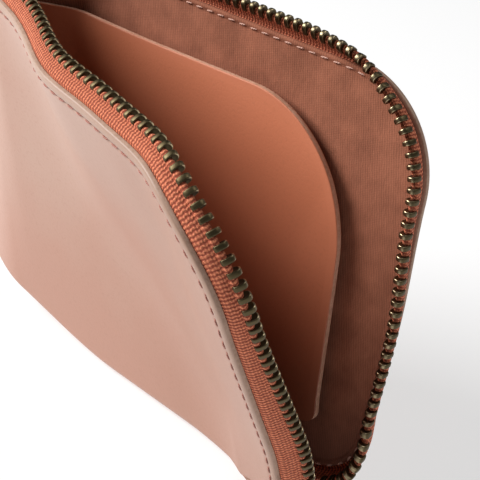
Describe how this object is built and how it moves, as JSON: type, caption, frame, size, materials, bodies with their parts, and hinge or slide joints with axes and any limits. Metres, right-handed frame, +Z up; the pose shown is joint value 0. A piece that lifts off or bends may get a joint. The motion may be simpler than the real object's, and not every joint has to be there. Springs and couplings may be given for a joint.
{
  "type": "zip around wallet",
  "caption": "Open leather wallet with a folded base, a metal zip along the top and round one corner, a cotton lining and a leather slip pocket.",
  "frame": {"origin": "middle of the flat base under the fold", "axes": "+X along the fold from the sewn end to the zip corner, +Y from the front panel to the back panel, +Z up"},
  "size_m": [0.1368, 0.0583, 0.102],
  "materials": {
    "outer_leather": "smooth satin vegetable-tanned hide",
    "pocket_leather": "smooth matt hide",
    "lining": "brown cotton twill",
    "zip_tape": "woven terracotta tape",
    "thread": "waxed pink sewing thread",
    "zip_metal": "dark antique brass with worn heads"
  },
  "bodies": {
    "wallet_body": {"outer_leather": "outer_leather", "lining": "lining", "inner_pocket": "pocket_leather", "back_zip_tape": "zip_tape", "front_zip_tape_end": "zip_tape", "back_zip_teeth": "zip_metal", "front_zip_teeth_end": "zip_metal", "back_top_stop": "zip_metal", "bottom_stop": "zip_metal"},
    "front_flap": {"flap_leather": "outer_leather", "flap_lining": "lining", "front_zip_tape": "zip_tape", "front_zip_teeth": "zip_metal", "front_top_stop": "zip_metal"},
    "slider_body": {"slider": "zip_metal"},
    "pull_tab": {"puller": "zip_metal"}
  },
  "joints": [
    {"name": "flap_bend", "type": "hinge", "parent": "wallet_body", "child": "front_flap", "pos_m": [-0.0511, -0.01439, 0.0927], "axis": [0.645, 0.0785, -0.7601], "range_deg": [-24, 15]},
    {"name": "slider_run", "type": "slide", "parent": "wallet_body", "child": "slider_body", "axis": [1, 0, 0], "range_m": [0, 0.008]},
    {"name": "puller_swing", "type": "hinge", "parent": "slider_body", "child": "pull_tab", "pos_m": [-0.0699, 0, 0.1001], "axis": [0, 1, 0], "range_deg": [0, 165]}
  ]
}
